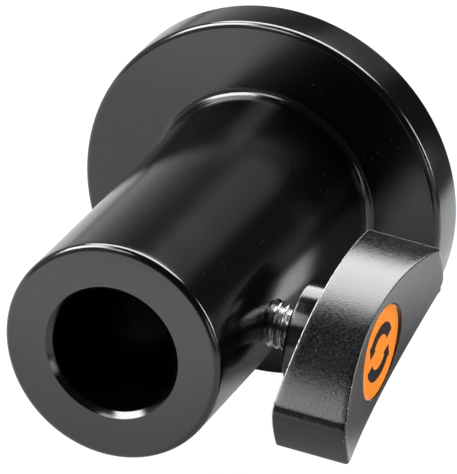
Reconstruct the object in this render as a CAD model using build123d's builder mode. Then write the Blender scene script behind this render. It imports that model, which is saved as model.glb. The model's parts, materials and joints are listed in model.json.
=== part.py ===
from build123d import *
import os

# Spigot receiver with a camera platform, for photographic stands.
# A turned barrel slips over the 16 mm (5/8 in) spigot of a stand, a wing screw in its side clamps
# the spigot, and a round platform on the barrel's far end carries a tripod head on a 3/8 in screw.
#
# Millimetres. The origin is the centre of the socket's mouth. The socket opens towards -Y, the
# platform faces +Y, the clamp screw comes out of the side along +X, and +Z is up.

# ---- Barrel, turned about Y ----
SOCKET_RADIUS = 8.1  # runs on a 15.875 mm spigot
SOCKET_DEPTH = 38.0  # the spigot stops on a step here
SOCKET_CHAMFER = 0.7
BARREL_LENGTH = 48.6
MOUTH_RADIUS = 14.25
WAIST_RADIUS = 14.1
WAIST_Y = 31.0  # the foot flares from here
FOOT_RADIUS = 14.5  # where the flare ends and the cove begins
FOOT_COVE = 1.0  # turned hollow between the flare and the platform
FOOT_LAND = 0.1
RIM_ROUND = 0.8

# ---- Screw that joins barrel and platform, 3/8 in - 16 UNC ----
STUD_RADIUS = 9.525 / 2
STUD_PITCH_RADIUS = 4.25  # the thread is this size where it sits in the platform
STUD_LENGTH = 22.2  # under the head, 7/8 in
STUD_HOLE_RADIUS = 5.0
HEAD_RADIUS = 14.3 / 2
HEAD_HEIGHT = 4.7
HEAD_KEY = 5.56  # 7/32 in hexagon key, across flats
HEAD_KEY_DEPTH = 2.6
HEAD_POCKET_RADIUS = 7.5
WASHER_RADIUS = 7.1
WASHER_THICKNESS = 1.5
WASHER_SLIT = 0.8
HEAD_Y = SOCKET_DEPTH + 0.1
WASHER_Y = HEAD_Y + HEAD_HEIGHT
FLOOR_Y = WASHER_Y + WASHER_THICKNESS

# ---- Platform ----
PLATFORM_RADIUS = 24.25
PLATFORM_THICKNESS = 6.8
PLATFORM_ROUND = 0.8  # front edge
PLATFORM_EDGE = 0.8  # rear edge
PLATFORM_Y = BARREL_LENGTH + PLATFORM_THICKNESS
STUD_FREE_Y = PLATFORM_Y + 0.2
GRIP_INNER_RADIUS = 16.5
GRIP_OUTER_RADIUS = 21.5
GRIP_GROOVE = 0.8
GRIP_PROUD = 0.3  # the rubber stands out this far
GRIP_GAP = 0.05
DOWEL_RADIUS = 1.5
DOWEL_LENGTH = 8.0
DOWEL_CIRCLE = 11.1
DOWEL_FIT = 0.01

# ---- Clamp screw, M6, along +X ----
CLAMP_Y = 18.4
SCREW_RADIUS = 3.0
THREAD_CLEARANCE = 0.05
INSERT_RADIUS = 3.6
INSERT_START_X = 9.0
INSERT_END_X = 13.3
PAD_RADIUS = 2.4
PAD_FACE_X = 8.3  # 0.2 mm back from the socket's wall
PAD_LENGTH = 1.9
PAD_FLOOR = 0.6
NOSE_RADIUS = 1.4
NOSE_CLEARANCE = 0.05
GROOVE_X = 9.25
GROOVE_WIDTH = 0.5
GROOVE_DEPTH = 0.4
NOSE_GROOVE = 0.3
RING_PLAY = 0.03

# ---- Knob: collar, wing and badge ----
COLLAR_X = 17.8
COLLAR_RADIUS = 6.8
COLLAR_CHAMFER = 0.45
WING_X = 20.5
WING_TIP_X = 30.25
DISH_X = 28.2  # the dished outer face is lowest here
HEEL_ROUND = 1.3
WING_EDGE = 0.2
SCREW_HEAD_X = 23.0
SCREW_HEAD_HEIGHT = 4.0
SCREW_HEAD_KEY = 10.0  # hexagon, across flats
HEX_PLAY = 0.1
BADGE_RADIUS = 6.2
BADGE_PLAY = 0.1
BADGE_SEAT_X = 27.6
BADGE_THICKNESS = 0.5
DOME_EDGE = 0.25
DOME_RISE = 0.75

# Half of the wing's outline about the screw; the other half is this one turned half round.
WING_HORN = (12.9, 9.25)
WING_CROWN = (-2.1, 7.1)
WING_HEEL = (-16.0, -3.2)
WING_TIP = (-14.6, -6.6)

MOUTH = Plane(origin=(0, 0, 0), x_dir=(1, 0, 0), z_dir=(0, -1, 0))
CLAMP = Plane(origin=(0, CLAMP_Y, 0), x_dir=(0, 1, 0), z_dir=(1, 0, 0))
CLAMP_SIDE = Plane(origin=(0, CLAMP_Y, 0), x_dir=(1, 0, 0), z_dir=(0, 0, 1))
CLAMP_AXIS = Axis((0, CLAMP_Y, 0), (1, 0, 0))


def opposite(point):
    """The same point of the wing's outline after half a turn."""
    return (-point[0], -point[1])


# The barrel's outside is a slight taper, then a flare that ends in a small hollow cove at the
# platform. Inside it is a blind socket with a narrower pocket for the platform screw's head.
with BuildPart() as socket_barrel:
    with BuildSketch(Plane.XY):
        with BuildLine():
            Polyline((0, BARREL_LENGTH), (0, 0), (MOUTH_RADIUS, 0))
            side = Line((MOUTH_RADIUS, 0), (WAIST_RADIUS, WAIST_Y))
            cove_y = BARREL_LENGTH - FOOT_LAND - FOOT_COVE
            TangentArc(side @ 1, (FOOT_RADIUS, cove_y), tangent=side % 1)
            cove = JernArc((FOOT_RADIUS, cove_y), tangent=(0, 1), radius=FOOT_COVE, arc_size=-90)
            Polyline(cove @ 1, (FOOT_RADIUS + FOOT_COVE, BARREL_LENGTH), (0, BARREL_LENGTH))
        make_face()
    revolve(axis=Axis.Y)
    fillet(socket_barrel.edges().sort_by(Axis.Y)[0], radius=RIM_ROUND)
    with Locations(MOUTH):
        Hole(SOCKET_RADIUS, depth=SOCKET_DEPTH)
        Hole(HEAD_POCKET_RADIUS, depth=FLOOR_Y)
        Hole(STUD_HOLE_RADIUS)
    chamfer(
        socket_barrel.faces().sort_by(Axis.Y)[0].edges().sort_by(SortBy.RADIUS)[0],
        length=SOCKET_CHAMFER,
    )
    with Locations(CLAMP.offset(MOUTH_RADIUS + 1)):
        Hole(SCREW_RADIUS + THREAD_CLEARANCE, depth=MOUTH_RADIUS + 1)
    with Locations(CLAMP.offset(INSERT_END_X)):
        Hole(INSERT_RADIUS, depth=INSERT_END_X - INSERT_START_X)
    with Locations(MOUTH.offset(-BARREL_LENGTH + DOWEL_LENGTH / 2)):
        with PolarLocations(DOWEL_CIRCLE, 2):
            Hole(DOWEL_RADIUS + DOWEL_FIT, depth=DOWEL_LENGTH / 2)

# A round plate behind the barrel, with a groove in its far face for the rubber ring.
with BuildPart() as platform_disk:
    with BuildSketch(MOUTH.offset(-BARREL_LENGTH)):
        Circle(PLATFORM_RADIUS)
    extrude(amount=-PLATFORM_THICKNESS)
    fillet(platform_disk.edges().sort_by(Axis.Y)[0], radius=PLATFORM_ROUND)
    chamfer(platform_disk.edges().sort_by(Axis.Y)[-1], length=PLATFORM_EDGE)
    with Locations(MOUTH.offset(-BARREL_LENGTH)):
        Hole(STUD_PITCH_RADIUS + THREAD_CLEARANCE)
        with PolarLocations(DOWEL_CIRCLE, 2):
            Hole(DOWEL_RADIUS + DOWEL_FIT, depth=DOWEL_LENGTH / 2)
    with BuildSketch(MOUTH.offset(-PLATFORM_Y)):
        Circle(GRIP_OUTER_RADIUS)
        Circle(GRIP_INNER_RADIUS, mode=Mode.SUBTRACT)
    extrude(amount=GRIP_GROOVE, mode=Mode.SUBTRACT)

# A low-head cap screw: its head sits in the barrel's pocket and its end is the head stud.
with BuildPart() as platform_screw:
    with BuildSketch(MOUTH.offset(-HEAD_Y)):
        Circle(HEAD_RADIUS)
    extrude(amount=-HEAD_HEIGHT)
    fillet(platform_screw.edges().sort_by(Axis.Y)[0], radius=0.5)
    with BuildSketch(MOUTH.offset(-WASHER_Y)):
        Circle(STUD_RADIUS)
    extrude(amount=-STUD_LENGTH)
    chamfer(platform_screw.edges().sort_by(Axis.Y)[-1], length=0.7)
    with BuildSketch(MOUTH.offset(-BARREL_LENGTH)):
        Circle(STUD_RADIUS)
        Circle(STUD_PITCH_RADIUS, mode=Mode.SUBTRACT)
    extrude(amount=BARREL_LENGTH - STUD_FREE_Y, mode=Mode.SUBTRACT)
    with BuildSketch(MOUTH.offset(-HEAD_Y)):
        RegularPolygon(HEAD_KEY / 2, side_count=6, major_radius=False)
    extrude(amount=-HEAD_KEY_DEPTH, mode=Mode.SUBTRACT)

# A split spring washer, shown flat as it is when the screw is tight.
with BuildPart() as platform_lock_washer:
    with BuildSketch(MOUTH.offset(-WASHER_Y)):
        Circle(WASHER_RADIUS)
        Circle(STUD_HOLE_RADIUS, mode=Mode.SUBTRACT)
        with Locations((0, WASHER_RADIUS)):
            slit_length = 2 * (WASHER_RADIUS - STUD_RADIUS) + 1
            Rectangle(WASHER_SLIT, slit_length, rotation=30, mode=Mode.SUBTRACT)
    extrude(amount=-WASHER_THICKNESS)

# Two dowels stop the platform from turning on the barrel.
with BuildPart() as platform_dowel_pins:
    with BuildSketch(MOUTH.offset(-BARREL_LENGTH + DOWEL_LENGTH / 2)):
        with PolarLocations(DOWEL_CIRCLE, 2):
            Circle(DOWEL_RADIUS)
    extrude(amount=-DOWEL_LENGTH)
    chamfer(platform_dowel_pins.edges().filter_by(GeomType.CIRCLE), length=0.3)

# A rubber ring that a tripod head's base presses on.
with BuildPart() as platform_grip_ring:
    with BuildSketch(MOUTH.offset(-PLATFORM_Y + GRIP_GROOVE)):
        Circle(GRIP_OUTER_RADIUS - GRIP_GAP)
        Circle(GRIP_INNER_RADIUS + GRIP_GAP, mode=Mode.SUBTRACT)
    extrude(amount=-(GRIP_GROOVE + GRIP_PROUD))
    fillet(platform_grip_ring.faces().sort_by(Axis.Y)[-1].edges(), radius=0.2)

# A steel thread insert in the barrel's wall, as a sleeve of the coil's size.
with BuildPart() as thread_insert:
    with BuildSketch(CLAMP.offset(INSERT_START_X)):
        Circle(INSERT_RADIUS)
        Circle(SCREW_RADIUS + THREAD_CLEARANCE, mode=Mode.SUBTRACT)
    extrude(amount=INSERT_END_X - INSERT_START_X)

# The pad that presses on the spigot. The screw's nose turns in its back, held by a snap ring.
with BuildPart() as clamp_pad:
    with BuildSketch(CLAMP.offset(PAD_FACE_X)):
        Circle(PAD_RADIUS)
    extrude(amount=PAD_LENGTH)
    fillet(clamp_pad.edges().sort_by(Axis.X)[0], radius=0.3)
    with Locations(CLAMP.offset(PAD_FACE_X + PAD_LENGTH)):
        Hole(NOSE_RADIUS + NOSE_CLEARANCE, depth=PAD_LENGTH - PAD_FLOOR)
    with BuildSketch(CLAMP.offset(GROOVE_X)):
        Circle(NOSE_RADIUS + GROOVE_DEPTH)
    extrude(amount=GROOVE_WIDTH, mode=Mode.SUBTRACT)

# A snap ring of square wire, open over a sixth of its turn.
with BuildPart() as pad_snap_ring:
    with BuildSketch(CLAMP_SIDE):
        with Locations((GROOVE_X + GROOVE_WIDTH / 2, NOSE_RADIUS + GROOVE_DEPTH / 2 - NOSE_GROOVE / 2)):
            Rectangle(GROOVE_WIDTH - 2 * RING_PLAY, GROOVE_DEPTH + NOSE_GROOVE - 2 * RING_PLAY)
    revolve(axis=CLAMP_AXIS, revolution_arc=300)

# A hexagon-head screw. Its head is held in the wing, and its nose is turned down for the pad.
with BuildPart() as clamp_screw:
    with BuildSketch(CLAMP_SIDE):
        with BuildLine():
            shoulder_x = PAD_FACE_X + PAD_LENGTH + NOSE_CLEARANCE
            neck_radius = NOSE_RADIUS - NOSE_GROOVE
            Polyline(
                (PAD_FACE_X + PAD_FLOOR + NOSE_CLEARANCE, 0),
                (PAD_FACE_X + PAD_FLOOR + NOSE_CLEARANCE, NOSE_RADIUS),
                (GROOVE_X, NOSE_RADIUS),
                (GROOVE_X, neck_radius),
                (GROOVE_X + GROOVE_WIDTH, neck_radius),
                (GROOVE_X + GROOVE_WIDTH, NOSE_RADIUS),
                (shoulder_x, NOSE_RADIUS),
                (shoulder_x, SCREW_RADIUS - 0.6),
                (shoulder_x + 0.6, SCREW_RADIUS),
                (SCREW_HEAD_X, SCREW_RADIUS),
                (SCREW_HEAD_X, 0),
                close=True,
            )
        make_face()
    revolve(axis=CLAMP_AXIS)
    with BuildSketch(CLAMP.offset(SCREW_HEAD_X)):
        RegularPolygon(SCREW_HEAD_KEY / 2, side_count=6, major_radius=False)
    extrude(amount=SCREW_HEAD_HEIGHT)

# A turned collar, threaded on the screw and tightened against the wing.
with BuildPart() as lock_collar:
    with BuildSketch(CLAMP.offset(COLLAR_X)):
        Circle(COLLAR_RADIUS)
    extrude(amount=WING_X - COLLAR_X)
    chamfer(lock_collar.edges().sort_by(Axis.X)[0], length=COLLAR_CHAMFER)
    with Locations(CLAMP.offset(WING_X)):
        Hole(SCREW_RADIUS + THREAD_CLEARANCE)

# The wing: two long crowned sides between sharp horns and rounded heels, with a dished outer face.
with BuildPart() as wing_handle:
    with BuildSketch(CLAMP.offset(WING_X)) as wing_outline:
        with BuildLine():
            ThreePointArc(WING_HORN, WING_CROWN, WING_HEEL)
            ThreePointArc(WING_HEEL, WING_TIP, opposite(WING_HORN))
            ThreePointArc(opposite(WING_HORN), opposite(WING_CROWN), opposite(WING_HEEL))
            ThreePointArc(opposite(WING_HEEL), opposite(WING_TIP), WING_HORN)
        make_face()
        corners = wing_outline.vertices().sort_by(Axis.X)
        fillet([corners[0], corners[-1]], radius=HEEL_ROUND)
    extrude(amount=WING_TIP_X - WING_X)
    tip_reach = ((WING_HORN[0] - WING_HEEL[0]) ** 2 + (WING_HORN[1] - WING_HEEL[1]) ** 2) ** 0.5 / 2
    dish_sag = WING_TIP_X - DISH_X
    dish_radius = (tip_reach**2 + dish_sag**2) / (2 * dish_sag)
    across = (0, WING_HORN[1] - WING_HEEL[1], WING_HEEL[0] - WING_HORN[0])
    with Locations(Plane(origin=(DISH_X + dish_radius, CLAMP_Y, 0), z_dir=across)):
        Cylinder(dish_radius, 4 * tip_reach, mode=Mode.SUBTRACT)
    chamfer(wing_handle.faces().sort_by(Axis.X)[0].edges(), length=WING_EDGE)
    with Locations(CLAMP.offset(WING_TIP_X)):
        Hole(BADGE_RADIUS + BADGE_PLAY, depth=WING_TIP_X - BADGE_SEAT_X)
        Hole(SCREW_RADIUS + THREAD_CLEARANCE)
    with BuildSketch(CLAMP.offset(SCREW_HEAD_X)):
        RegularPolygon(SCREW_HEAD_KEY / 2 + HEX_PLAY, side_count=6, major_radius=False)
    extrude(amount=BADGE_SEAT_X - SCREW_HEAD_X, mode=Mode.SUBTRACT)

# The badge closes the wing's screw pocket: a printed disc under a clear cast dome.
with BuildPart() as badge_disc:
    with BuildSketch(CLAMP.offset(BADGE_SEAT_X)):
        Circle(BADGE_RADIUS)
    extrude(amount=BADGE_THICKNESS)

with BuildPart() as badge_dome:
    with BuildSketch(CLAMP_SIDE):
        with BuildLine():
            base_x = BADGE_SEAT_X + BADGE_THICKNESS
            crown_x = base_x + DOME_EDGE + DOME_RISE
            Polyline((crown_x, 0), (base_x, 0), (base_x, BADGE_RADIUS), (base_x + DOME_EDGE, BADGE_RADIUS))
            TangentArc((crown_x, 0), (base_x + DOME_EDGE, BADGE_RADIUS), tangent=(0, 1))
        make_face()
    revolve(axis=CLAMP_AXIS)

PIECES = {
    "socket_barrel": socket_barrel,
    "platform_disk": platform_disk,
    "platform_screw": platform_screw,
    "platform_lock_washer": platform_lock_washer,
    "platform_dowel_pins": platform_dowel_pins,
    "platform_grip_ring": platform_grip_ring,
    "thread_insert": thread_insert,
    "clamp_pad": clamp_pad,
    "pad_snap_ring": pad_snap_ring,
    "clamp_screw": clamp_screw,
    "lock_collar": lock_collar,
    "wing_handle": wing_handle,
    "badge_disc": badge_disc,
    "badge_dome": badge_dome,
}

os.makedirs("parts", exist_ok=True)
for name, piece in PIECES.items():
    piece.part.label = name
    export_step(piece.part, f"parts/{name}.step")
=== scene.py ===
import json
import math

import bmesh
import bpy
from mathutils import Matrix, Vector


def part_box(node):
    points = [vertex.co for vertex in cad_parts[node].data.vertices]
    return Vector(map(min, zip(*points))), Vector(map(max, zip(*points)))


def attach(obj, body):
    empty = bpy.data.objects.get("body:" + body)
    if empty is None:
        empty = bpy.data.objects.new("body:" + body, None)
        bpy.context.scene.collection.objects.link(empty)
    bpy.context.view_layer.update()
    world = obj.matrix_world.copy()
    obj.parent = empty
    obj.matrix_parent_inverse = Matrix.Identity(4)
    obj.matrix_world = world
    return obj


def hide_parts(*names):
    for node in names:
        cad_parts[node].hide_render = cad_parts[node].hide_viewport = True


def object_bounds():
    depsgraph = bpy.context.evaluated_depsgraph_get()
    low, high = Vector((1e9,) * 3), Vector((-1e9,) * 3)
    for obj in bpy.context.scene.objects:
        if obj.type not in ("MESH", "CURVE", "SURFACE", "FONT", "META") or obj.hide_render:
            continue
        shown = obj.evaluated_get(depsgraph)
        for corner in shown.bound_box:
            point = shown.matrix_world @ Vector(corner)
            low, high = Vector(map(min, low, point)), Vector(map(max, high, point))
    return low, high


# Looks of the spigot receiver: a turned barrel on a round platform, clamped by a wing knob.
# Shapes are worked out in millimetres in the CAD frame (socket mouth at the origin, socket opening
# towards -Y, clamp screw along +X) and turned into metres when a mesh is made.

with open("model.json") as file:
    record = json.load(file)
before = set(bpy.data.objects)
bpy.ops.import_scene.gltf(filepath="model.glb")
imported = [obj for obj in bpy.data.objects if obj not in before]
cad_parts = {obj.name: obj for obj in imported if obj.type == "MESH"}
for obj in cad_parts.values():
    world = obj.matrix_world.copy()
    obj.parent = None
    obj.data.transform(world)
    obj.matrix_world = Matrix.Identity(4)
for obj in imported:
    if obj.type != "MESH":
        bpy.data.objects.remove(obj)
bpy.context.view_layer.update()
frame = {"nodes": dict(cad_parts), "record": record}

MM = 0.001
FULL_TURN = 2 * math.pi


def box_mm(node):
    """Lowest and highest corner of a CAD node, in millimetres."""
    lo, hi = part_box(node)
    return lo / MM, hi / MM


# ---------------------------------------------------------------- sizes
BARREL_HI = box_mm("socket_barrel")[1]
DISK_LO, DISK_HI = box_mm("platform_disk")
STUD_LO, STUD_HI = box_mm("platform_screw")
RUBBER_LO, RUBBER_HI = box_mm("platform_grip_ring")
INSERT_LO, INSERT_HI = box_mm("thread_insert")
PAD_LO, PAD_HI = box_mm("clamp_pad")
SCREW_LO, SCREW_HI = box_mm("clamp_screw")
COLLAR_LO, COLLAR_HI = box_mm("lock_collar")
WING_LO, WING_HI = box_mm("wing_handle")
DISC_LO, DISC_HI = box_mm("badge_disc")
DOME_LO, DOME_HI = box_mm("badge_dome")

CLAMP_Y = (COLLAR_LO.y + COLLAR_HI.y) / 2
MOUNTS = {mount["name"]: mount for mount in frame["record"]["mounts"]}
SOCKET_RADIUS = MOUNTS["spigot_socket"]["dims"]["r_mm"]
STUD_RADIUS = MOUNTS["head_stud"]["dims"]["r_mm"]

MOUTH_RADIUS = 14.25
RIM_ROUND = 0.8
WAIST_RADIUS = 14.1
WAIST_Y = 31.0
FOOT_COVE = 1.0
FOOT_LAND = 0.1
FOOT_RADIUS = BARREL_HI.z - FOOT_COVE
SOCKET_DEPTH = 38.0
SOCKET_CHAMFER = 0.7
POCKET_RADIUS = 7.5
POCKET_Y = 44.3
STUD_HOLE_RADIUS = 5.0
PLATE_HOLE_RADIUS = 4.3
CLAMP_HOLE_RADIUS = 3.05
DOWEL_RADIUS = 1.51
DOWEL_CIRCLE = 11.1
DOWEL_DEPTH = 4.0
PLATFORM_ROUND = 0.8
PLATFORM_EDGE = 0.8
GROOVE_RADII = (16.5, 21.5)
GROOVE_DEPTH = 0.8

# The platform screw, 3/8 in - 16
STUD_PITCH = 25.4 / 16
STUD_ROOT_RADIUS = 3.85
STUD_SEATED_RADIUS = 4.25
HEAD_HEIGHT = 4.7
HEAD_KEY = 5.56
HEAD_KEY_DEPTH = 2.6

# The clamp screw's nose, held in the pad by a snap ring, and its hexagon head
NOSE_RADIUS = 1.4
NOSE_BORE_RADIUS = 1.45
NOSE_BORE_X = 8.9
SNAP_START_X = 9.25
SNAP_END_X = 9.75
SNAP_GROOVE_RADIUS = 1.8
SCREW_SHOULDER_X = 10.25
SCREW_HEAD_X = 23.0
SCREW_HEAD_KEY = 10.0

# Half of the wing's outline about the clamp screw, as (y, z); the other half is this one after half a turn
WING_HORN = Vector((12.9, 9.25))
WING_CROWN = Vector((-2.1, 7.1))
WING_HEEL = Vector((-16.0, -3.2))
WING_TIP = Vector((-14.6, -6.6))
HEEL_ROUND = 2.0
HORN_ROUND = 0.15
WING_EDGE = 0.20
WING_END_EDGE = 0.55
DISH_X = 28.2
BADGE_HOLE_RADIUS = 6.3
BADGE_SEAT_X = 27.6


# ---------------------------------------------------------------- mesh helpers
def finish_mesh(name, bm, sharp_deg=32.0):
    """Makes an object of a bmesh in millimetres: welded, facing out, smooth with sharp corners."""
    bmesh.ops.remove_doubles(bm, verts=bm.verts, dist=2e-5)
    bmesh.ops.dissolve_degenerate(bm, edges=bm.edges, dist=1e-5)
    bmesh.ops.recalc_face_normals(bm, faces=bm.faces)
    bmesh.ops.scale(bm, vec=(MM, MM, MM), verts=bm.verts)
    mesh = bpy.data.meshes.new(name)
    bm.to_mesh(mesh)
    bm.free()
    for polygon in mesh.polygons:
        polygon.use_smooth = True
    mesh.set_sharp_from_angle(angle=math.radians(sharp_deg))
    obj = bpy.data.objects.new(name, mesh)
    bpy.context.scene.collection.objects.link(obj)
    return obj


def skin(name, rings, closed, sharp_deg=32.0):
    """Joins rings of equally many points. A closed skin joins last to first, an open one is capped."""
    bm = bmesh.new()
    rows = [[bm.verts.new(point) for point in ring] for ring in rings]
    count = len(rows[0])
    pairs = list(zip(rows, rows[1:]))
    if closed:
        pairs.append((rows[-1], rows[0]))
    for low, high in pairs:
        for i in range(count):
            j = (i + 1) % count
            bm.faces.new((low[i], low[j], high[j], high[i]))
    if not closed:
        bm.faces.new(rows[0])
        bm.faces.new(list(reversed(rows[-1])))
    return finish_mesh(name, bm, sharp_deg)


def about_y(along, radius, turn):
    """A point of a piece turned about the barrel's axis."""
    return (radius * math.cos(turn), along, radius * math.sin(turn))


def about_clamp(along, radius, turn):
    """A point of a piece turned about the clamp screw's axis."""
    return (along, CLAMP_Y + radius * math.cos(turn), radius * math.sin(turn))


def circle(place, along, radius, count):
    return [place(along, radius, FULL_TURN * i / count) for i in range(count)]


def hexagon(place, along, across_flats, count):
    """A hexagon with as many points as the circles that it is joined to."""
    points = []
    for i in range(count):
        turn = FULL_TURN * i / count
        off = (turn % (FULL_TURN / 6)) - FULL_TURN / 12
        points.append(place(along, across_flats / 2 / math.cos(off), turn))
    return points


def lathe(name, profile, place, count=256, closed=True, sharp_deg=32.0):
    """Turns a profile of (along, radius) points."""
    rings = [circle(place, along, radius, count) for along, radius in profile]
    return skin(name, rings, closed, sharp_deg)


def round_corner(before, corner, after, radius, steps=6):
    """Points of the arc that rounds one corner of a profile."""
    c = Vector(corner)
    a = (Vector(before) - c).normalized()
    b = (Vector(after) - c).normalized()
    half = a.angle(b) / 2
    reach = radius / math.tan(half)
    centre = c + (a + b).normalized() * (radius / math.sin(half))
    start = c + a * reach - centre
    sweep = start.angle_signed(c + b * reach - centre)
    points = []
    for k in range(steps + 1):
        spoke = start.copy()
        spoke.rotate(Matrix.Rotation(-sweep * k / steps, 2))
        points.append(tuple(centre + spoke))
    return points


def rounded(corners, steps=6, closed=True):
    """A profile from (along, radius, rounding) corners, with arcs where the rounding isn't zero."""
    points = []
    for i, (along, radius, rounding) in enumerate(corners):
        inner = closed or 0 < i < len(corners) - 1
        if rounding > 0 and inner:
            before = corners[i - 1][:2]
            after = corners[(i + 1) % len(corners)][:2]
            points += round_corner(before, (along, radius), after, rounding, steps)
        else:
            points.append((along, radius))
    return points


def tangent_arc(start, direction, end, steps):
    """Points after start up to end on the arc that leaves start along direction."""
    s, e, d = Vector(start), Vector(end), Vector(direction).normalized()
    chord = e - s
    normal = Vector((-d.y, d.x))
    radius = chord.length_squared / (2 * normal.dot(chord))
    centre = s + normal * radius
    spoke = s - centre
    sweep = spoke.angle_signed(e - centre)
    points = []
    for k in range(1, steps + 1):
        turned = spoke.copy()
        turned.rotate(Matrix.Rotation(-sweep * k / steps, 2))
        points.append(tuple(centre + turned))
    return points


def spaced(start, end, step):
    """Points on a straight line, about a step apart, without its last one."""
    s, e = Vector(start), Vector(end)
    count = max(1, round((e - s).length / step))
    return [tuple(s.lerp(e, k / count)) for k in range(count)]


def cut(obj, *cutters, sharp_deg=32.0):
    """Cuts the cutters out of obj and removes them."""
    for cutter in cutters:
        change = obj.modifiers.new("cut", "BOOLEAN")
        change.operation = "DIFFERENCE"
        change.solver = "EXACT"
        change.object = cutter
    graph = bpy.context.evaluated_depsgraph_get()
    mesh = bpy.data.meshes.new_from_object(obj.evaluated_get(graph))
    obj.modifiers.clear()
    obj.data = mesh
    for polygon in mesh.polygons:
        polygon.use_smooth = True
    mesh.set_sharp_from_angle(angle=math.radians(sharp_deg))
    for cutter in cutters:
        bpy.data.objects.remove(cutter)
    return obj


def thread_height(phase):
    """Height of a rounded 60 degree thread, 0 at its root and 1 at its crest."""
    climb = 1 - abs(2 * (phase % 1.0) - 1)
    flat = min(1.0, max(0.0, (climb - 0.10) / 0.76))
    return 0.35 * flat * flat * (3 - 2 * flat) + 0.65 * flat


def threaded(place, start, end, limit, minor, major, pitch, count, per_pitch=20):
    """Rings of a thread, never outside limit(along)."""
    rows = round((end - start) / pitch * per_pitch)
    rings = []
    for k in range(rows + 1):
        along = start + (end - start) * k / rows
        ring = []
        for i in range(count):
            turn = FULL_TURN * i / count
            height = thread_height(along / pitch - i / count)
            radius = min(limit(along), minor + (major - minor) * height)
            ring.append(place(along, radius, turn))
        rings.append(ring)
    return rings


# ---------------------------------------------------------------- material helpers
def new_material(name):
    material = bpy.data.materials.new(name)
    material.use_nodes = True
    material.node_tree.nodes.clear()
    return material, material.node_tree


def add(tree, kind, inputs=None, **settings):
    """Adds a node. An input is a value or another node's output."""
    node = tree.nodes.new(kind)
    for key, value in settings.items():
        setattr(node, key, value)
    for key, value in (inputs or {}).items():
        if isinstance(value, bpy.types.NodeSocket):
            tree.links.new(value, node.inputs[key])
        else:
            node.inputs[key].default_value = value
    return node


def math_node(tree, operation, a, b=0.0, c=0.0, clamp=False):
    node = add(tree, "ShaderNodeMath", {0: a, 1: b, 2: c}, operation=operation, use_clamp=clamp)
    return node.outputs[0]


def vector_node(tree, operation, a, b=(0, 0, 0), out="Vector"):
    """A vector operation. out is "Value" where the result is a number."""
    return add(tree, "ShaderNodeVectorMath", {0: a, 1: b}, operation=operation).outputs[out]


def ramp(tree, value, low, high, to_low=0.0, to_high=1.0, smooth=True):
    """Maps value from low..high to to_low..to_high, held at the ends."""
    node = add(
        tree,
        "ShaderNodeMapRange",
        {"Value": value, "From Min": low, "From Max": high, "To Min": to_low, "To Max": to_high},
        interpolation_type="SMOOTHSTEP" if smooth else "LINEAR",
        clamp=True,
    )
    return node.outputs["Result"]


def place_mm(tree, stretch=(1, 1, 1)):
    """The point's place in millimetres, stretched per axis."""
    here = add(tree, "ShaderNodeTexCoord").outputs["Object"]
    return vector_node(tree, "MULTIPLY", here, [s / MM for s in stretch])


def noise(tree, where, scale, detail=2.0, roughness=0.5):
    node = add(
        tree,
        "ShaderNodeTexNoise",
        {"Vector": where, "Scale": scale, "Detail": detail, "Roughness": roughness},
    )
    return node.outputs["Fac"]


def mix_value(tree, factor, a, b):
    node = add(tree, "ShaderNodeMix", {0: factor, 2: a, 3: b}, data_type="FLOAT")
    return node.outputs[0]


def mix_colour(tree, factor, a, b):
    node = add(tree, "ShaderNodeMix", {0: factor, 6: a, 7: b}, data_type="RGBA")
    return node.outputs[2]


def bump(tree, height, distance_mm, strength=1.0, normal=None):
    inputs = {"Height": height, "Distance": distance_mm * MM, "Strength": strength}
    if normal is not None:
        inputs["Normal"] = normal
    return add(tree, "ShaderNodeBump", inputs).outputs[0]


def grey(level):
    return (level, level, level, 1.0)


def dust(tree, cell_per_mm, share):
    """1 on sparse tiny specks, 0 elsewhere."""
    cells = add(tree, "ShaderNodeTexVoronoi", {"Vector": place_mm(tree), "Scale": cell_per_mm})
    near = math_node(tree, "LESS_THAN", cells.outputs["Distance"], 0.16)
    pick = add(tree, "ShaderNodeSeparateColor", {0: cells.outputs["Color"]}).outputs[0]
    chosen = math_node(tree, "LESS_THAN", pick, share)
    return math_node(tree, "MULTIPLY", near, chosen)


def radius_from(tree, centre, axis):
    """Distance from an axis through centre (mm), as a node output."""
    offset = vector_node(tree, "SUBTRACT", place_mm(tree), centre)
    across = [0.0 if k == axis else 1.0 for k in range(3)]
    return vector_node(tree, "LENGTH", vector_node(tree, "MULTIPLY", offset, across), out="Value")


def facing(tree, axis, low, high):
    """0 where the surface is parallel to an axis, 1 where it faces along it."""
    normal = add(tree, "ShaderNodeTexCoord").outputs["Normal"]
    part = add(tree, "ShaderNodeSeparateXYZ", {0: normal}).outputs[axis]
    return ramp(tree, math_node(tree, "ABSOLUTE", part), low, high)


def output(tree, shader):
    add(tree, "ShaderNodeOutputMaterial", {"Surface": shader})


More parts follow.
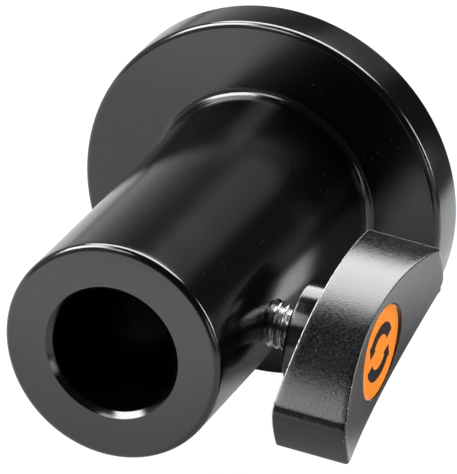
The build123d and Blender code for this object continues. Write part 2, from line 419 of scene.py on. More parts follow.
# ---------------------------------------------------------------- materials
def gloss_anodised():
    """Turned aluminium under a glossy black anodised layer. Faces across the axis are more matt."""
    material, tree = new_material("gloss_anodised")
    end_face = facing(tree, 1, 0.90, 0.985)
    grain = noise(tree, place_mm(tree), 5.0, 4.0, 0.75)
    cloud = noise(tree, place_mm(tree), 0.11, 2.0)
    lines = noise(tree, place_mm(tree, (0.05, 7.0, 0.05)), 1.0, 3.0, 0.7)
    rings = add(tree, "ShaderNodeCombineXYZ", {0: radius_from(tree, (0, 0, 0), 1)}).outputs[0]
    rings = noise(tree, rings, 6.0, 3.0, 0.7)
    tool_marks = mix_value(tree, end_face, lines, rings)
    rough_side = ramp(tree, cloud, 0.3, 0.7, 0.12, 0.14)
    rough_face = ramp(tree, grain, 0.3, 0.7, 0.13, 0.18)
    specks = dust(tree, 1.9, 0.07)
    colour = mix_colour(tree, ramp(tree, grain, 0.48, 0.72), grey(0.0005), grey(0.0040))
    colour = mix_colour(tree, specks, colour, grey(0.035))
    height = math_node(tree, "ADD", math_node(tree, "MULTIPLY", tool_marks, 0.6), grain)
    surface = add(
        tree,
        "ShaderNodeBsdfPrincipled",
        {
            "Base Color": colour,
            "Roughness": mix_value(tree, end_face, rough_side, rough_face),
            "IOR": 1.6,
            "Normal": bump(tree, height, 0.006),
        },
    )
    output(tree, surface.outputs[0])
    return material


def satin_anodised(name, stroke, bare_from, bare_to, horns):
    """Brushed, satin black anodised aluminium. stroke stretches the grain along the brushing.

    The layer is rubbed off the edges: nearly all the way where x is below bare_from, in specks where
    it is above bare_to. horns are the places of the sharp edges that run along x.
    """
    material, tree = new_material(name)
    brush = noise(tree, place_mm(tree, stroke), 1.0, 3.0, 0.65)
    grain = noise(tree, place_mm(tree), 3.8, 3.0, 0.7)
    cloud = noise(tree, place_mm(tree), 0.25, 2.0)
    specks = dust(tree, 1.6, 0.02)
    colour = mix_colour(tree, ramp(tree, grain, 0.40, 0.68), grey(0.0005), grey(0.0150))
    colour = mix_colour(tree, specks, colour, grey(0.05))
    rough = ramp(tree, math_node(tree, "ADD", cloud, grain), 0.7, 1.3, 0.11, 0.16)
    height = math_node(tree, "MULTIPLY_ADD", brush, 0.2, grain)
    turned = math_node(tree, "SUBTRACT", facing(tree, 0, 0.08, 0.25), facing(tree, 0, 0.90, 0.98))
    along = add(tree, "ShaderNodeSeparateXYZ", {0: place_mm(tree)}).outputs[0]
    chips = noise(tree, place_mm(tree), 2.6, 3.0, 0.6)
    rubbed = ramp(tree, chips, 0.36, 0.46)
    specked = ramp(tree, chips, 0.64, 0.70)
    near = mix_value(tree, ramp(tree, along, bare_from, bare_to), rubbed, specked)
    bare = math_node(tree, "MULTIPLY", turned, near)
    flat = vector_node(tree, "MULTIPLY", place_mm(tree), (0, 1, 1))
    for horn in horns:
        away = vector_node(tree, "DISTANCE", flat, horn, out="Value")
        worn = math_node(tree, "MULTIPLY", ramp(tree, away, 0.14, 0.26, 0.35, 0.0), rubbed)
        bare = math_node(tree, "MAXIMUM", bare, worn)
    colour = mix_colour(tree, bare, colour, grey(0.30))
    rough = mix_value(tree, bare, rough, 0.40)
    surface = add(
        tree,
        "ShaderNodeBsdfPrincipled",
        {
            "Base Color": colour,
            "Metallic": math_node(tree, "MULTIPLY", bare, 0.8),
            "Roughness": rough,
            "IOR": 1.5,
            "Normal": bump(tree, height, 0.023),
        },
    )
    output(tree, surface.outputs[0])
    return material


def turned_satin(name):
    """Collar: fine tool marks round the clamp screw's axis."""
    material, tree = new_material(name)
    marks = noise(tree, place_mm(tree, (9.0, 0.25, 0.25)), 1.0, 4.0, 0.7)
    grain = noise(tree, place_mm(tree), 8.0, 3.0)
    colour = mix_colour(tree, marks, grey(0.001), grey(0.004))
    surface = add(
        tree,
        "ShaderNodeBsdfPrincipled",
        {
            "Base Color": colour,
            "Roughness": ramp(tree, marks, 0.3, 0.7, 0.10, 0.16),
            "IOR": 1.5,
            "Normal": bump(tree, math_node(tree, "MULTIPLY_ADD", marks, 2.0, grain), 0.006),
        },
    )
    output(tree, surface.outputs[0])
    return material


def bright_steel():
    """Zinc plated steel with fine tool marks and darker spots."""
    material, tree = new_material("zinc_steel")
    marks = noise(tree, place_mm(tree, (6.0, 1.0, 1.0)), 1.0, 4.0, 0.7)
    spots = noise(tree, place_mm(tree), 1.3, 4.0, 0.6)
    colour = mix_colour(tree, ramp(tree, spots, 0.35, 0.7), grey(0.36), (0.25, 0.24, 0.235, 1.0))
    surface = add(
        tree,
        "ShaderNodeBsdfPrincipled",
        {
            "Base Color": colour,
            "Metallic": 1.0,
            "Roughness": ramp(tree, spots, 0.3, 0.7, 0.20, 0.34),
            "Normal": bump(tree, marks, 0.006),
        },
    )
    output(tree, surface.outputs[0])
    return material


def turned_brass():
    """Brass with turning rings and a slight tarnish."""
    material, tree = new_material("turned_brass")
    rings = add(tree, "ShaderNodeCombineXYZ", {0: radius_from(tree, (0, CLAMP_Y, 0), 0)}).outputs[0]
    rings = noise(tree, rings, 9.0, 2.0)
    tarnish = noise(tree, place_mm(tree), 1.5, 4.0, 0.6)
    colour = mix_colour(
        tree, ramp(tree, tarnish, 0.35, 0.7), (0.75, 0.56, 0.24, 1.0), (0.48, 0.33, 0.14, 1.0)
    )
    surface = add(
        tree,
        "ShaderNodeBsdfPrincipled",
        {
            "Base Color": colour,
            "Metallic": 1.0,
            "Roughness": ramp(tree, tarnish, 0.3, 0.7, 0.20, 0.34),
            "Normal": bump(tree, rings, 0.01),
        },
    )
    output(tree, surface.outputs[0])
    return material


def rubber():
    """Matt black rubber with a moulded grain and some dust."""
    material, tree = new_material("moulded_rubber")
    grain = noise(tree, place_mm(tree), 5.0, 4.0, 0.6)
    cloud = noise(tree, place_mm(tree), 0.3, 3.0)
    specks = dust(tree, 1.8, 0.06)
    colour = mix_colour(tree, ramp(tree, cloud, 0.3, 0.7), grey(0.016), grey(0.030))
    colour = mix_colour(tree, specks, colour, grey(0.16))
    surface = add(
        tree,
        "ShaderNodeBsdfPrincipled",
        {
            "Base Color": colour,
            "Roughness": ramp(tree, grain, 0.3, 0.7, 0.55, 0.75),
            "Normal": bump(tree, grain, 0.03),
        },
    )
    output(tree, surface.outputs[0])
    return material


def orange_ink():
    """Printed orange disc with a faint screen grain."""
    material, tree = new_material("orange_ink")
    grain = noise(tree, place_mm(tree), 12.0, 3.0)
    cloud = noise(tree, place_mm(tree), 0.5, 2.0)
    colour = mix_colour(tree, cloud, (0.95, 0.25, 0.018, 1.0), (0.95, 0.29, 0.026, 1.0))
    screen = math_node(tree, "MULTIPLY", ramp(tree, grain, 0.4, 0.7), 0.25)
    colour = mix_colour(tree, screen, colour, (0.88, 0.21, 0.014, 1.0))
    surface = add(
        tree,
        "ShaderNodeBsdfPrincipled",
        {
            "Base Color": colour,
            "Roughness": 0.6,
            "Specular IOR Level": 0.05,
            "Normal": bump(tree, grain, 0.004),
        },
    )
    output(tree, surface.outputs[0])
    return material


def black_ink():
    """The badge's printed mark."""
    material, tree = new_material("black_ink")
    grain = noise(tree, place_mm(tree), 10.0, 3.0)
    colour = mix_colour(tree, grain, (0.006, 0.004, 0.004, 1), (0.014, 0.008, 0.007, 1))
    surface = add(
        tree,
        "ShaderNodeBsdfPrincipled",
        {
            "Base Color": colour,
            "Roughness": ramp(tree, grain, 0.3, 0.7, 0.5, 0.7),
            "Specular IOR Level": 0.05,
        },
    )
    output(tree, surface.outputs[0])
    return material


def clear_resin():
    """Clear cast resin. Light passes straight through it; it hardly reflects, except at its rim."""
    material, tree = new_material("clear_resin")
    waves = bump(tree, noise(tree, place_mm(tree), 0.6, 2.0), 0.01)
    haze = ramp(tree, noise(tree, place_mm(tree), 3.0), 0.3, 0.7, 0.02, 0.07)
    gloss = add(tree, "ShaderNodeBsdfGlossy", {"Roughness": haze, "Normal": waves}).outputs[0]
    through = add(tree, "ShaderNodeBsdfTransparent", {"Color": (1.0, 0.99, 0.97, 1.0)}).outputs[0]
    rim = ramp(tree, radius_from(tree, (0, CLAMP_Y, 0), 0), DOME_HI.z - 0.5, DOME_HI.z - 0.1)
    share = add(tree, "ShaderNodeFresnel", {"IOR": 1.12, "Normal": waves}).outputs[0]
    share = math_node(tree, "MULTIPLY", share, mix_value(tree, rim, 0.15, 2.0))
    inside = add(tree, "ShaderNodeNewGeometry").outputs["Backfacing"]
    outside = math_node(tree, "SUBTRACT", 1.0, inside)
    share = math_node(tree, "MULTIPLY", share, outside)
    output(tree, add(tree, "ShaderNodeMixShader", {0: share, 1: through, 2: gloss}).outputs[0])
    return material


GLOSS = gloss_anodised()
WING_HORNS = [(0, CLAMP_Y + side * WING_HORN.x, side * WING_HORN.y) for side in (1, -1)]
SATIN = satin_anodised("satin_anodised", (1.2, 5.0, 5.0), WING_LO.x + 1, WING_LO.x + 3, WING_HORNS)
COLLAR_FINISH = turned_satin("turned_anodised")
STEEL = bright_steel()
BRASS = turned_brass()
RUBBER = rubber()
ORANGE = orange_ink()
INK = black_ink()
RESIN = clear_resin()


def dress(obj, material, body, slot, *nodes):
    """Gives a piece its finish in one material slot and its body, and lets it stand for CAD nodes. The
    slot argument is not used.
    """
    obj.data.materials.clear()
    obj.data.materials.append(material)
    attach(obj, body)
    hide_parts(*nodes)
    return obj


# ---------------------------------------------------------------- receiver
def build_barrel():
    """The turned barrel with its blind socket, head pocket and side hole."""
    length = BARREL_HI.y
    cove_y = length - FOOT_LAND - FOOT_COVE
    taper = (WAIST_Y, WAIST_RADIUS - MOUTH_RADIUS)
    flare = tangent_arc((WAIST_Y, WAIST_RADIUS), taper, (cove_y, FOOT_RADIUS), 20)
    chamfer_radius = SOCKET_RADIUS + SOCKET_CHAMFER
    mouth = [(0, chamfer_radius, 0), (0, MOUTH_RADIUS, RIM_ROUND), (WAIST_Y, WAIST_RADIUS, 0)]
    rim = rounded(mouth, 8, closed=False)
    start_taper = rim[-2]
    profile = rim[:-1]
    profile += spaced(start_taper, (WAIST_Y, WAIST_RADIUS), 1.0)[1:]
    profile.append((WAIST_Y, WAIST_RADIUS))
    profile += flare
    cove_steps = 12
    for k in range(1, cove_steps + 1):
        a = math.pi / 2 * k / cove_steps
        profile.append((cove_y + FOOT_COVE * math.sin(a), FOOT_RADIUS + FOOT_COVE * (1 - math.cos(a))))
    profile += [
        (length, FOOT_RADIUS + FOOT_COVE),
        (length, STUD_HOLE_RADIUS),
        (POCKET_Y, STUD_HOLE_RADIUS),
        (POCKET_Y, POCKET_RADIUS),
        (SOCKET_DEPTH, POCKET_RADIUS),
        (SOCKET_DEPTH, SOCKET_RADIUS),
    ]
    profile += spaced((SOCKET_DEPTH - 0.5, SOCKET_RADIUS), (SOCKET_CHAMFER, SOCKET_RADIUS), 1.0)
    profile += [(SOCKET_CHAMFER, SOCKET_RADIUS), (SOCKET_CHAMFER - 0.05, SOCKET_RADIUS + 0.03)]
    barrel = lathe("barrel_shell", profile, about_y, 320)
    side_hole = lathe(
        "side_hole",
        [
            (6.0, CLAMP_HOLE_RADIUS),
            (INSERT_LO.x, CLAMP_HOLE_RADIUS),
            (INSERT_LO.x, INSERT_HI.z),
            (INSERT_HI.x, INSERT_HI.z),
            (INSERT_HI.x, CLAMP_HOLE_RADIUS),
            (16.0, CLAMP_HOLE_RADIUS),
        ],
        about_clamp,
        96,
        closed=False,
    )
    pins = [dowel_cutter(x, length - DOWEL_DEPTH, length + 1) for x in (-DOWEL_CIRCLE, DOWEL_CIRCLE)]
    return cut(barrel, side_hole, *pins)


def dowel_cutter(x, start, end):
    """Cuts one dowel's hole, at x from the barrel's axis."""

    def place(along, radius, turn):
        return (x + radius * math.cos(turn), along, radius * math.sin(turn))

    return lathe("pin_hole", [(start, DOWEL_RADIUS), (end, DOWEL_RADIUS)], place, 48, closed=False)


def build_platform():
    """The round plate, rounded at the front and chamfered at the rear, with a groove for the rubber."""
    front, back, edge = DISK_LO.y, DISK_HI.y, DISK_HI.x
    inner, outer = GROOVE_RADII
    floor = back - GROOVE_DEPTH
    profile = rounded(
        [
            (front, PLATE_HOLE_RADIUS, 0),
            (front, edge, PLATFORM_ROUND),
            (back - PLATFORM_EDGE, edge, 0.1),
            (back, edge - PLATFORM_EDGE, 0.1),
            (back, outer, 0.08),
            (floor, outer, 0),
            (floor, inner, 0),
            (back, inner, 0.08),
            (back, PLATE_HOLE_RADIUS + 0.4, 0.05),
            (back - 0.4, PLATE_HOLE_RADIUS, 0),
        ],
        8,
    )
    plate = lathe("platform_plate", profile, about_y, 384)
    pins = [dowel_cutter(x, front - 1, front + DOWEL_DEPTH) for x in (-DOWEL_CIRCLE, DOWEL_CIRCLE)]
    return cut(plate, *pins)


def build_platform_screw():
    """Low-head cap screw, 3/8 in - 16, whose free end is the stud behind the platform."""
    count = 96
    head_y, tip_y = STUD_LO.y, STUD_HI.y
    under_head = head_y + HEAD_HEIGHT
    head_radius = STUD_HI.x
    key_floor = head_y + HEAD_KEY_DEPTH
    key_rim = HEAD_KEY / 2 + 0.7
    free_y = RUBBER_HI.y - 0.1

    def limit(along):
        if BARREL_HI.y < along < free_y:
            return STUD_SEATED_RADIUS
        return min(STUD_RADIUS, STUD_RADIUS - 0.7 + (tip_y - along))

    rings = [
        circle(about_y, key_floor + 0.6, 0.01, count),
        hexagon(about_y, key_floor, HEAD_KEY, count),
        hexagon(about_y, head_y + 0.25, HEAD_KEY, count),
        circle(about_y, head_y, key_rim, count),
    ]
    head = rounded(
        [(head_y, key_rim, 0), (head_y, head_radius, 0.5), (under_head, head_radius, 0.1),
         (under_head, STUD_RADIUS, 0)],
        5,
        closed=False,
    )
    rings += [circle(about_y, along, radius, count) for along, radius in head[1:]]
    rings += threaded(about_y, under_head, tip_y, limit, STUD_ROOT_RADIUS, STUD_RADIUS, STUD_PITCH, count)
    rings.append(circle(about_y, tip_y, 0.01, count))
    return skin("platform_stud_screw", rings, closed=False)


def build_grip_ring():
    """Rubber ring with shallow concentric ribs on the face that a tripod head presses on."""
    low, high = RUBBER_LO.y, RUBBER_HI.y
    inner, outer = GROOVE_RADII[0] + 0.05, RUBBER_HI.x
    ribs = 5
    profile = [(low, inner), (high - 0.15, inner), (high - 0.04, inner + 0.05)]
    samples = ribs * 12
    start, end = inner + 0.15, outer - 0.15
    for k in range(samples + 1):
        wave = 0.5 - 0.5 * math.cos(FULL_TURN * ribs * k / samples)
        profile.append((high - 0.22 * wave, start + (end - start) * k / samples))
    profile += [(high - 0.04, outer - 0.05), (high - 0.15, outer), (low, outer)]
    return lathe("rubber_grip", profile, about_y, 256)


def build_insert():
    """Wire thread insert: a coil of diamond wire in the barrel's wall."""
    turns_per_mm = 1.0
    wire = 0.27
    count = 60
    start, end = INSERT_LO.x + 0.35, INSERT_HI.x - 0.35
    middle = (CLAMP_HOLE_RADIUS + INSERT_HI.z) / 2
    rings = []
    for k in range(round((end - start) * turns_per_mm * count) + 1):
        along = start + k / (turns_per_mm * count)
        turn = FULL_TURN * k / count
        ring = []
        for lean in range(8):
            a = FULL_TURN * lean / 8
            size = wire if lean % 2 == 0 else wire * 0.8
            radius = middle + size * 0.98 * math.cos(a)
            ring.append(about_clamp(along + size * math.sin(a), radius, turn))
        rings.append(ring)
    return skin("insert_coil", rings, closed=False, sharp_deg=60)


# ---------------------------------------------------------------- pad
def build_pad():
    """Brass pad with a rounded face and the pocket that holds the screw's nose."""
    face, back, edge = PAD_LO.x, PAD_HI.x, PAD_HI.z
    profile = rounded(
        [
            (face, 0.01, 0),
            (face, edge, 0.3),
            (back, edge, 0.08),
            (back, NOSE_BORE_RADIUS, 0.05),
            (SNAP_END_X, NOSE_BORE_RADIUS, 0),
            (SNAP_END_X, SNAP_GROOVE_RADIUS, 0),
            (SNAP_START_X, SNAP_GROOVE_RADIUS, 0),
            (SNAP_START_X, NOSE_BORE_RADIUS, 0),
            (NOSE_BORE_X, NOSE_BORE_RADIUS, 0),
            (NOSE_BORE_X, 0.01, 0),
        ],
        6,
        closed=False,
    )
    return lathe("brass_pad", profile, about_clamp, 96, closed=False)


# ---------------------------------------------------------------- knob
def build_clamp_screw():
    """Hexagon-head M6 screw with a rolled thread and a turned-down nose."""
    count = 96
    tip = SCREW_LO.x
    head, top = SCREW_HEAD_X, SCREW_HI.x
    shoulder = SCREW_SHOULDER_X
    start, end = SNAP_START_X, SNAP_END_X
    nose, neck, major, minor = NOSE_RADIUS, 1.1, 2.98, 2.40

    def limit(along):
        return min(major, minor + (along - shoulder))

    profile = rounded(
        [(tip, 0.01, 0), (tip, nose, 0.15), (start, nose, 0), (start, neck, 0), (end, neck, 0),
         (end, nose, 0), (shoulder, nose, 0)],
        5,
        closed=False,
    )
    rings = [circle(about_clamp, along, radius, count) for along, radius in profile]
    rings += threaded(about_clamp, shoulder, head - 1.2, limit, minor, major, 1.0, count)
    rings += [
        circle(about_clamp, head - 0.8, major, count),
        circle(about_clamp, head, major, count),
        hexagon(about_clamp, head, SCREW_HEAD_KEY, count),
        hexagon(about_clamp, top - 0.5, SCREW_HEAD_KEY, count),
        circle(about_clamp, top, 4.8, count),
        circle(about_clamp, top, 0.01, count),
    ]
    return skin("clamp_screw_threaded", rings, closed=False)


def build_collar():
    """Turned collar between the screw and the wing."""
    inner, outer = COLLAR_LO.x, COLLAR_HI.x
    edge = COLLAR_HI.z
    profile = rounded(
        [(inner, 3.6, 0), (inner, edge, 0.45), (outer, edge, 0.05), (outer, CLAMP_HOLE_RADIUS, 0),
         (inner + 0.55, CLAMP_HOLE_RADIUS, 0)],
        8,
    )
    return lathe("turned_collar", profile, about_clamp, 256)


def arc_through(a, b, c, steps):
    """Points from a to c on the circle through a, b and c."""
    ab, ac = b - a, c - a
    turn = 2 * ab.cross(ac)
    centre = a + Vector(
        (
            (ac.y * ab.length_squared - ab.y * ac.length_squared) / turn,
            (ab.x * ac.length_squared - ac.x * ab.length_squared) / turn,
        )
    )
    start = math.atan2(a.y - centre.y, a.x - centre.x)
    sweep = math.atan2(c.y - centre.y, c.x - centre.x) - start
    sweep = (sweep + math.pi) % FULL_TURN - math.pi
    radius = (a - centre).length
    turns = [start + sweep * k / steps for k in range(steps + 1)]
    return [centre + radius * Vector((math.cos(turn), math.sin(turn))) for turn in turns]


def wing_outline():
    """The wing's outline about the clamp screw, with rounded heels and fine steps."""
    side = arc_through(WING_HORN, WING_CROWN, WING_HEEL, 90)
    facet = arc_through(WING_HEEL, WING_TIP, -WING_HORN, 24)
    a, b = side[-2], facet[1]
    reach = HEEL_ROUND / math.tan((a - WING_HEEL).angle(b - WING_HEEL) / 2)
    side = [p for p in side if (p - WING_HEEL).length > reach]
    facet = [p for p in facet if (p - WING_HEEL).length > reach]
    heel = round_corner(side[-1], WING_HEEL, facet[0], HEEL_ROUND, 12)
    blunt = HORN_ROUND / math.tan((-side[1] + WING_HORN).angle(facet[-2] + WING_HORN) / 2)
    horn = round_corner(facet[-3], -WING_HORN, -side[2], HORN_ROUND, 4)
    side = [p for p in side if (p - WING_HORN).length > blunt]
    facet = [p for p in facet if (p + WING_HORN).length > blunt]
    half = side + [Vector(p) for p in heel] + facet + [Vector(p) for p in horn]
    return half + [-p for p in half]


def wing_top(point):
    """Height of the dished outer face above a point of the outline's plane."""
    chord = WING_HORN - WING_HEEL
    reach = chord.length / 2
    sag = WING_HI.x - DISH_X
    radius = (reach**2 + sag**2) / (2 * sag)
    along = point.dot(chord.normalized())
    return DISH_X + radius - math.sqrt(radius**2 - along**2)


def build_wing():
    """The S-shaped wing with softened edges, badge pocket and screw pocket."""
    outline = wing_outline()
    count = len(outline)
    edge = WING_EDGE
    length_way = (WING_HORN - WING_HEEL).normalized()
    arcs = 6

    def crest_round(p):
        """Rounding of the outer edge, which is larger round the wing's two ends."""
        near_end = min(1.0, max(0.0, (abs(p.dot(length_way)) - 14.6) / 0.8))
        return edge + (WING_END_EDGE - edge) * near_end

    def inset(size, share=1.0):
        """The outline drawn in by size(point), less where the badge pocket is near."""
        points = []
        for i, p in enumerate(outline):
            ahead = outline[(i + 1) % count] - p
            behind = p - outline[i - 1]
            inward = Vector((-ahead.y, ahead.x)).normalized()
            inward += Vector((-behind.y, behind.x)).normalized()
            inward.normalize()
            room = max(0.0, p.length - BADGE_HOLE_RADIUS - 0.01)
            points.append(p + inward * min(size(p) * share, room * 0.8))
        return points

    def at(points, height):
        return [(height(p) if callable(height) else height, CLAMP_Y + p.x, p.y) for p in points]

    def polar(radius):
        """Points on a circle under the outline's own points."""
        return [p.normalized() * radius for p in outline]

    def hex_pocket():
        """The pocket for the screw's head, with 0.1 mm of play."""
        points = []
        for p in outline:
            turn = math.atan2(p.y, p.x) % (FULL_TURN / 6) - FULL_TURN / 12
            points.append(p.normalized() * ((SCREW_HEAD_KEY / 2 + 0.1) / math.cos(turn)))
        return points

    bottom = WING_LO.x
    rim = polar(BADGE_HOLE_RADIUS)
    rings = []
    inner_hole = polar(CLAMP_HOLE_RADIUS)
    base = inset(lambda p: edge)
    for k in range(9):
        share = k / 8
        rings.append(at([h.lerp(b, share) for h, b in zip(inner_hole, base)], bottom))
    for k in range(1, arcs + 1):
        a = math.pi / 2 * k / arcs
        rings.append(at(inset(lambda p: edge, 1 - math.sin(a)), bottom + edge * (1 - math.cos(a))))
    low_edge = bottom + edge
    for k in range(1, 12):
        share = k / 12
        rings.append(
            at(outline, lambda p, s=share: low_edge * (1 - s) + (wing_top(p) - crest_round(p)) * s)
        )
    for k in range(arcs + 1):
        a = math.pi / 2 * k / arcs
        drop = 1 - math.sin(a)
        ring = inset(crest_round, 1 - math.cos(a))
        rings.append(at(ring, lambda p, d=drop: wing_top(p) - crest_round(p) * d))
    crest = inset(crest_round)
    for k in range(1, 17):
        share = k / 16
        rings.append(at([c.lerp(r, share) for c, r in zip(crest, rim)], wing_top))
    rings.append(at(rim, BADGE_SEAT_X))
    rings.append(at(hex_pocket(), BADGE_SEAT_X))
    rings.append(at(hex_pocket(), SCREW_HEAD_X))
    rings.append(at(inner_hole, SCREW_HEAD_X))
    return skin("wing_grip", rings, closed=True, sharp_deg=35)


def build_badge_disc():
    """The printed disc, with softened edges."""
    low, high, edge = DISC_LO.x, DISC_HI.x, DISC_HI.z
    profile = rounded(
        [(low, 0.01, 0), (low, edge, 0.05), (high, edge, 0.05), (high, 0.01, 0)], 4, closed=False
    )
    return lathe("badge_print", profile, about_clamp, 128, closed=False)


def build_badge_mark():
    """A round turn arrow, raised a hair above the print: a generic sign for turning the knob."""
    bm = bmesh.new()
    low, high = DISC_HI.x - 0.01, DISC_HI.x + 0.02
    inner, outer = 2.3, 3.9

    def spot(x, radius, turn):
        return bm.verts.new(about_clamp(x, radius, turn))

    for half in range(2):
        begin = math.radians(25 + 180 * half)
        end = math.radians(150 + 180 * half)
        steps = 30
        rows = []
        for k in range(steps + 1):
            turn = begin + (end - begin) * k / steps
            rows.append([spot(low, inner, turn), spot(low, outer, turn), spot(high, outer, turn),
                         spot(high, inner, turn)])
        for near, far in zip(rows, rows[1:]):
            for i in range(4):
                j = (i + 1) % 4
                bm.faces.new((near[i], near[j], far[j], far[i]))
        bm.faces.new(rows[0])
        bm.faces.new(list(reversed(rows[-1])))
        wide = (outer - inner) * 0.85
        middle = (outer + inner) / 2
        point_turn = end + math.radians(26)
        corners = [(middle - wide, end), (middle + wide, end), (middle, point_turn)]
        bottom = [spot(low, r, t) for r, t in corners]
        top = [spot(high, r, t) for r, t in corners]
        bm.faces.new(bottom)
        bm.faces.new(list(reversed(top)))
        for i in range(3):
            j = (i + 1) % 3
            bm.faces.new((bottom[i], bottom[j], top[j], top[i]))
    return finish_mesh("badge_turn_mark", bm, 20)


def build_dome():
    """The clear dome over the print, highest in the middle."""
    low, high, edge = DOME_LO.x, DOME_HI.x, DOME_HI.z
    lip = 0.25
    rise = high - low - lip
    profile = [(low, 0.01), (low, edge)]
    steps = 28
    for k in range(steps + 1):
        a = math.pi / 2 * k / steps
        profile.append((low + lip + rise * math.sin(a), max(0.01, edge * math.cos(a))))
    return lathe("badge_lens", profile, about_clamp, 128, closed=False, sharp_deg=50)


dress(build_barrel(), GLOSS, "receiver", "black_anodised_gloss", "socket_barrel")
dress(build_platform(), GLOSS, "receiver", "black_anodised_gloss", "platform_disk")
dress(build_platform_screw(), STEEL, "receiver", "bright_steel", "platform_screw")
dress(build_grip_ring(), RUBBER, "receiver", "black_rubber", "platform_grip_ring")
dress(build_insert(), STEEL, "receiver", "bright_steel", "thread_insert")
dress(build_pad(), BRASS, "pad", "brass_pad", "clamp_pad")
dress(build_clamp_screw(), STEEL, "knob", "bright_steel", "clamp_screw")
dress(build_collar(), COLLAR_FINISH, "knob", "black_anodised_satin", "lock_collar")
dress(build_wing(), SATIN, "knob", "black_anodised_satin", "wing_handle")
dress(build_badge_disc(), ORANGE, "knob", "orange_print", "badge_disc")
mark = build_badge_mark()
mark.data.materials.append(INK)
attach(mark, "knob")
dress(build_dome(), RESIN, "knob", "clear_dome", "badge_dome")

for name in ("platform_lock_washer", "platform_dowel_pins", "pad_snap_ring"):
    node = frame["nodes"][name]
    node.data.materials.clear()
    node.data.materials.append(STEEL)


# ---------------------------------------------------------------- studio
def aim(obj, place, target, up=Vector((0, 0, 1))):
    """Puts obj at place with its -Z axis towards target."""
    back = (Vector(place) - Vector(target)).normalized()
    right = up.cross(back).normalized()
    turn = Matrix((right, back.cross(right), back)).transposed()
    obj.matrix_world = Matrix.Translation(place) @ turn.to_4x4()


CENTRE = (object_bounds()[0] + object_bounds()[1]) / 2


def strip_light(name, start, end, width, radiance, distance=0.8):
    """A rectangular light round the object from one direction to another, width measured as an arc."""
    first, last = Vector(start).normalized(), Vector(end).normalized()
    light = bpy.data.lights.new(name, "AREA")
    light.shape = "RECTANGLE"
    light.size = (last - first).length * distance
    light.size_y = width * distance
    light.energy = radiance * math.pi * light.size * light.size_y
    obj = bpy.data.objects.new(name, light)
    bpy.context.scene.collection.objects.link(obj)
    middle = (first + last).normalized()
    aim(obj, CENTRE + middle * distance, CENTRE, middle.cross(last - first))
    obj.visible_camera = False


strip_light("overhead_light", (-0.80, 0.313, 0.511), (0.60, 0.418, 0.682), 0.60, 12.0)
strip_light("left_light", (-0.47, -0.32, 0.82), (-0.90, -0.14, 0.42), 0.60, 17.0)
strip_light("front_light", (-0.22, -0.64, 0.73), (-0.46, -0.58, 0.67), 0.42, 7.0)
strip_light("front_right_light", (0.88, -0.46, 0.08), (0.82, -0.50, 0.30), 0.18, 3.2)
strip_light("right_light", (0.85, 0.48, 0.10), (0.80, 0.25, 0.55), 0.24, 11.0)


def painted_floor_light_and_shade(tree):
    """Painted light and shade on the table as seen in reflections, from the place on it in millimetres."""
    x, y = add(tree, "ShaderNodeSeparateXYZ", {0: place_mm(tree)}).outputs[:2]
    # Painted light and shade: brighter in front and behind on the right, darker on the right near the
    # barrel and far behind on the left.
    front = ramp(tree, y, -60, -20, 1.0, 0.0)
    right = math_node(tree, "MULTIPLY", ramp(tree, x, 0, 12), ramp(tree, y, 10, 40, 1.0, 0.0))
    behind = math_node(tree, "MULTIPLY", ramp(tree, x, 30, 60), ramp(tree, y, 30, 60))
    far_left = math_node(tree, "MULTIPLY", ramp(tree, x, -60, -20, 1.0, 0.0), ramp(tree, y, 30, 80))
    level = math_node(tree, "MULTIPLY_ADD", front, 0.5, 1.3)
    drop = math_node(tree, "MULTIPLY", right, math_node(tree, "MULTIPLY_ADD", front, 0.40, 0.35))
    level = math_node(tree, "SUBTRACT", level, drop)
    level = math_node(tree, "MULTIPLY_ADD", behind, 0.4, level)
    level = math_node(tree, "MULTIPLY_ADD", far_left, -0.4, level)
    # The painted light ends in front of the table and far behind it on the right.
    level = math_node(tree, "MULTIPLY", level, ramp(tree, y, -150, -80, 0.12, 1.0))
    reach = math_node(tree, "MULTIPLY_ADD", x, 0.6, math_node(tree, "MULTIPLY", y, 0.8))
    level = math_node(tree, "MULTIPLY", level, ramp(tree, reach, 150, 210, 1.0, 0.1))
    # The platform's painted shadow on the table, an ellipse.
    off = vector_node(tree, "SUBTRACT", place_mm(tree), (22, 62, 0))
    off = vector_node(tree, "DIVIDE", off, (34, 24, 50))
    off = vector_node(tree, "LENGTH", off, out="Value")
    level = math_node(tree, "MULTIPLY", level, ramp(tree, off, 0.7, 1.15, 0.2, 1.0))
    # Painted contact shade: the glow darkens near the object by ambient occlusion.
    near = add(tree, "ShaderNodeAmbientOcclusion", {"Distance": 0.03}, samples=8).outputs["AO"]
    return math_node(tree, "MULTIPLY", level, near)


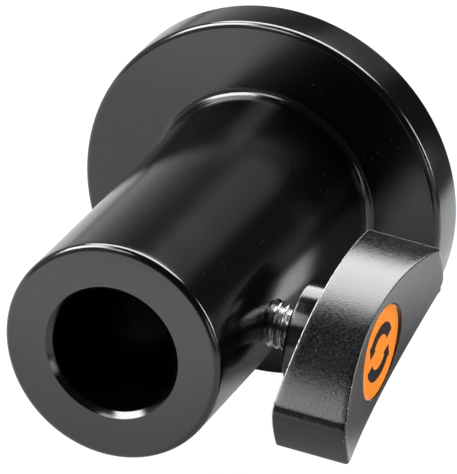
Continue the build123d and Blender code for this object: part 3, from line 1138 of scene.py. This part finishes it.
def build_floor():
    """A wide pale table top just under the object, seen only from above."""
    bm = bmesh.new()
    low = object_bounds()[0].z
    bmesh.ops.create_grid(bm, x_segments=8, y_segments=8, size=1.2)
    mesh = bpy.data.meshes.new("table_top")
    bm.to_mesh(mesh)
    bm.free()
    table = bpy.data.objects.new("table_top", mesh)
    table.location = (0, 0, low - 0.1 * MM)
    bpy.context.scene.collection.objects.link(table)
    material, tree = new_material("pale_table")
    glow = add(tree, "ShaderNodeEmission", {"Color": grey(1.0), "Strength": 0.97}).outputs[0]
    paper = add(tree, "ShaderNodeBsdfDiffuse", {"Color": grey(0.05)}).outputs[0]
    seen = add(tree, "ShaderNodeAddShader", {0: glow, 1: paper}).outputs[0]
    # Seen in reflections the table glows with painted light and shade; the camera sees it evenly pale.
    inputs = {"Color": grey(1.0), "Strength": painted_floor_light_and_shade(tree)}
    painted_glow_in_reflections = add(tree, "ShaderNodeEmission", inputs).outputs[0]
    camera = add(tree, "ShaderNodeLightPath").outputs["Is Camera Ray"]
    top = add(tree, "ShaderNodeMixShader", {0: camera, 1: painted_glow_in_reflections, 2: seen}).outputs[0]
    through = add(tree, "ShaderNodeBsdfTransparent").outputs[0]
    below = add(tree, "ShaderNodeNewGeometry").outputs["Backfacing"]
    output(tree, add(tree, "ShaderNodeMixShader", {0: below, 1: top, 2: through}).outputs[0])
    mesh.materials.append(material)


def build_world():
    """Pale to the camera; for light and reflections a dark room with a pale wall low on the left.

    There is also a soft glow behind and above, and a low pale strip on the right.
    """
    world = bpy.data.worlds.new("studio")
    world.use_nodes = True
    tree = world.node_tree
    tree.nodes.clear()
    ray = add(tree, "ShaderNodeTexCoord").outputs["Generated"]
    x, _, z = add(tree, "ShaderNodeSeparateXYZ", {0: ray}).outputs
    left = ramp(tree, x, -0.40, -0.15, 1.0, 0.0)
    low = ramp(tree, z, -0.05, 0.50, 1.0, 0.0, smooth=False)
    wall = math_node(tree, "MULTIPLY", left, low)
    glow_way = Vector((0.12, 0.85, 0.50)).normalized()
    toward = vector_node(tree, "DOT_PRODUCT", ray, glow_way, out="Value")
    glow = ramp(tree, toward, 0.96, 0.995, 0.0, 0.26)
    side = math_node(tree, "MULTIPLY", ramp(tree, x, 0.5, 0.7), ramp(tree, z, 0.05, 0.22, 0.8, 0.0))
    level = math_node(tree, "ADD", math_node(tree, "MULTIPLY_ADD", wall, 0.78, 0.04), glow)
    level = math_node(tree, "ADD", level, side)
    room = add(tree, "ShaderNodeBackground", {"Color": grey(1.0), "Strength": level}).outputs[0]
    pale = add(tree, "ShaderNodeBackground", {"Color": grey(1.0), "Strength": 1.0}).outputs[0]
    seen = add(tree, "ShaderNodeLightPath").outputs["Is Camera Ray"]
    mixed = add(tree, "ShaderNodeMixShader", {0: seen, 1: room, 2: pale}).outputs[0]
    add(tree, "ShaderNodeOutputWorld", {"Surface": mixed})
    bpy.context.scene.world = world


# The camera looks from the mouth's side, from the right and above, tipped a little.
CAMERA_AZIMUTH = math.radians(19.516)
CAMERA_ELEVATION = math.radians(26.853)
CAMERA_ROLL = math.radians(6.208)
CAMERA_DISTANCE = 1.0
CAMERA_TARGET = Vector((9.604, 10.829, 13.978)) * MM
FRAME_LONG_SIDE = 474
PIXELS_PER_MM = 8.198
SENSOR = 36.0


def build_camera():
    """A camera a metre away. PIXELS_PER_MM is its scale at the target."""
    lens = bpy.data.cameras.new("camera")
    lens.sensor_width = SENSOR
    lens.lens = CAMERA_DISTANCE / MM * PIXELS_PER_MM / FRAME_LONG_SIDE * SENSOR
    lens.clip_start = 0.1
    lens.clip_end = 50
    camera = bpy.data.objects.new("camera", lens)
    bpy.context.scene.collection.objects.link(camera)
    flat = math.cos(CAMERA_ELEVATION)
    back = Vector(
        (math.sin(CAMERA_AZIMUTH) * flat, -math.cos(CAMERA_AZIMUTH) * flat, math.sin(CAMERA_ELEVATION))
    )
    level = Vector((math.cos(CAMERA_AZIMUTH), math.sin(CAMERA_AZIMUTH), 0))
    up = back.cross(level) * math.cos(CAMERA_ROLL) - level * math.sin(CAMERA_ROLL)
    aim(camera, CAMERA_TARGET + back * CAMERA_DISTANCE, CAMERA_TARGET, up)
    bpy.context.scene.camera = camera


build_floor()
build_world()
build_camera()
bpy.context.scene.view_settings.view_transform = "Standard"
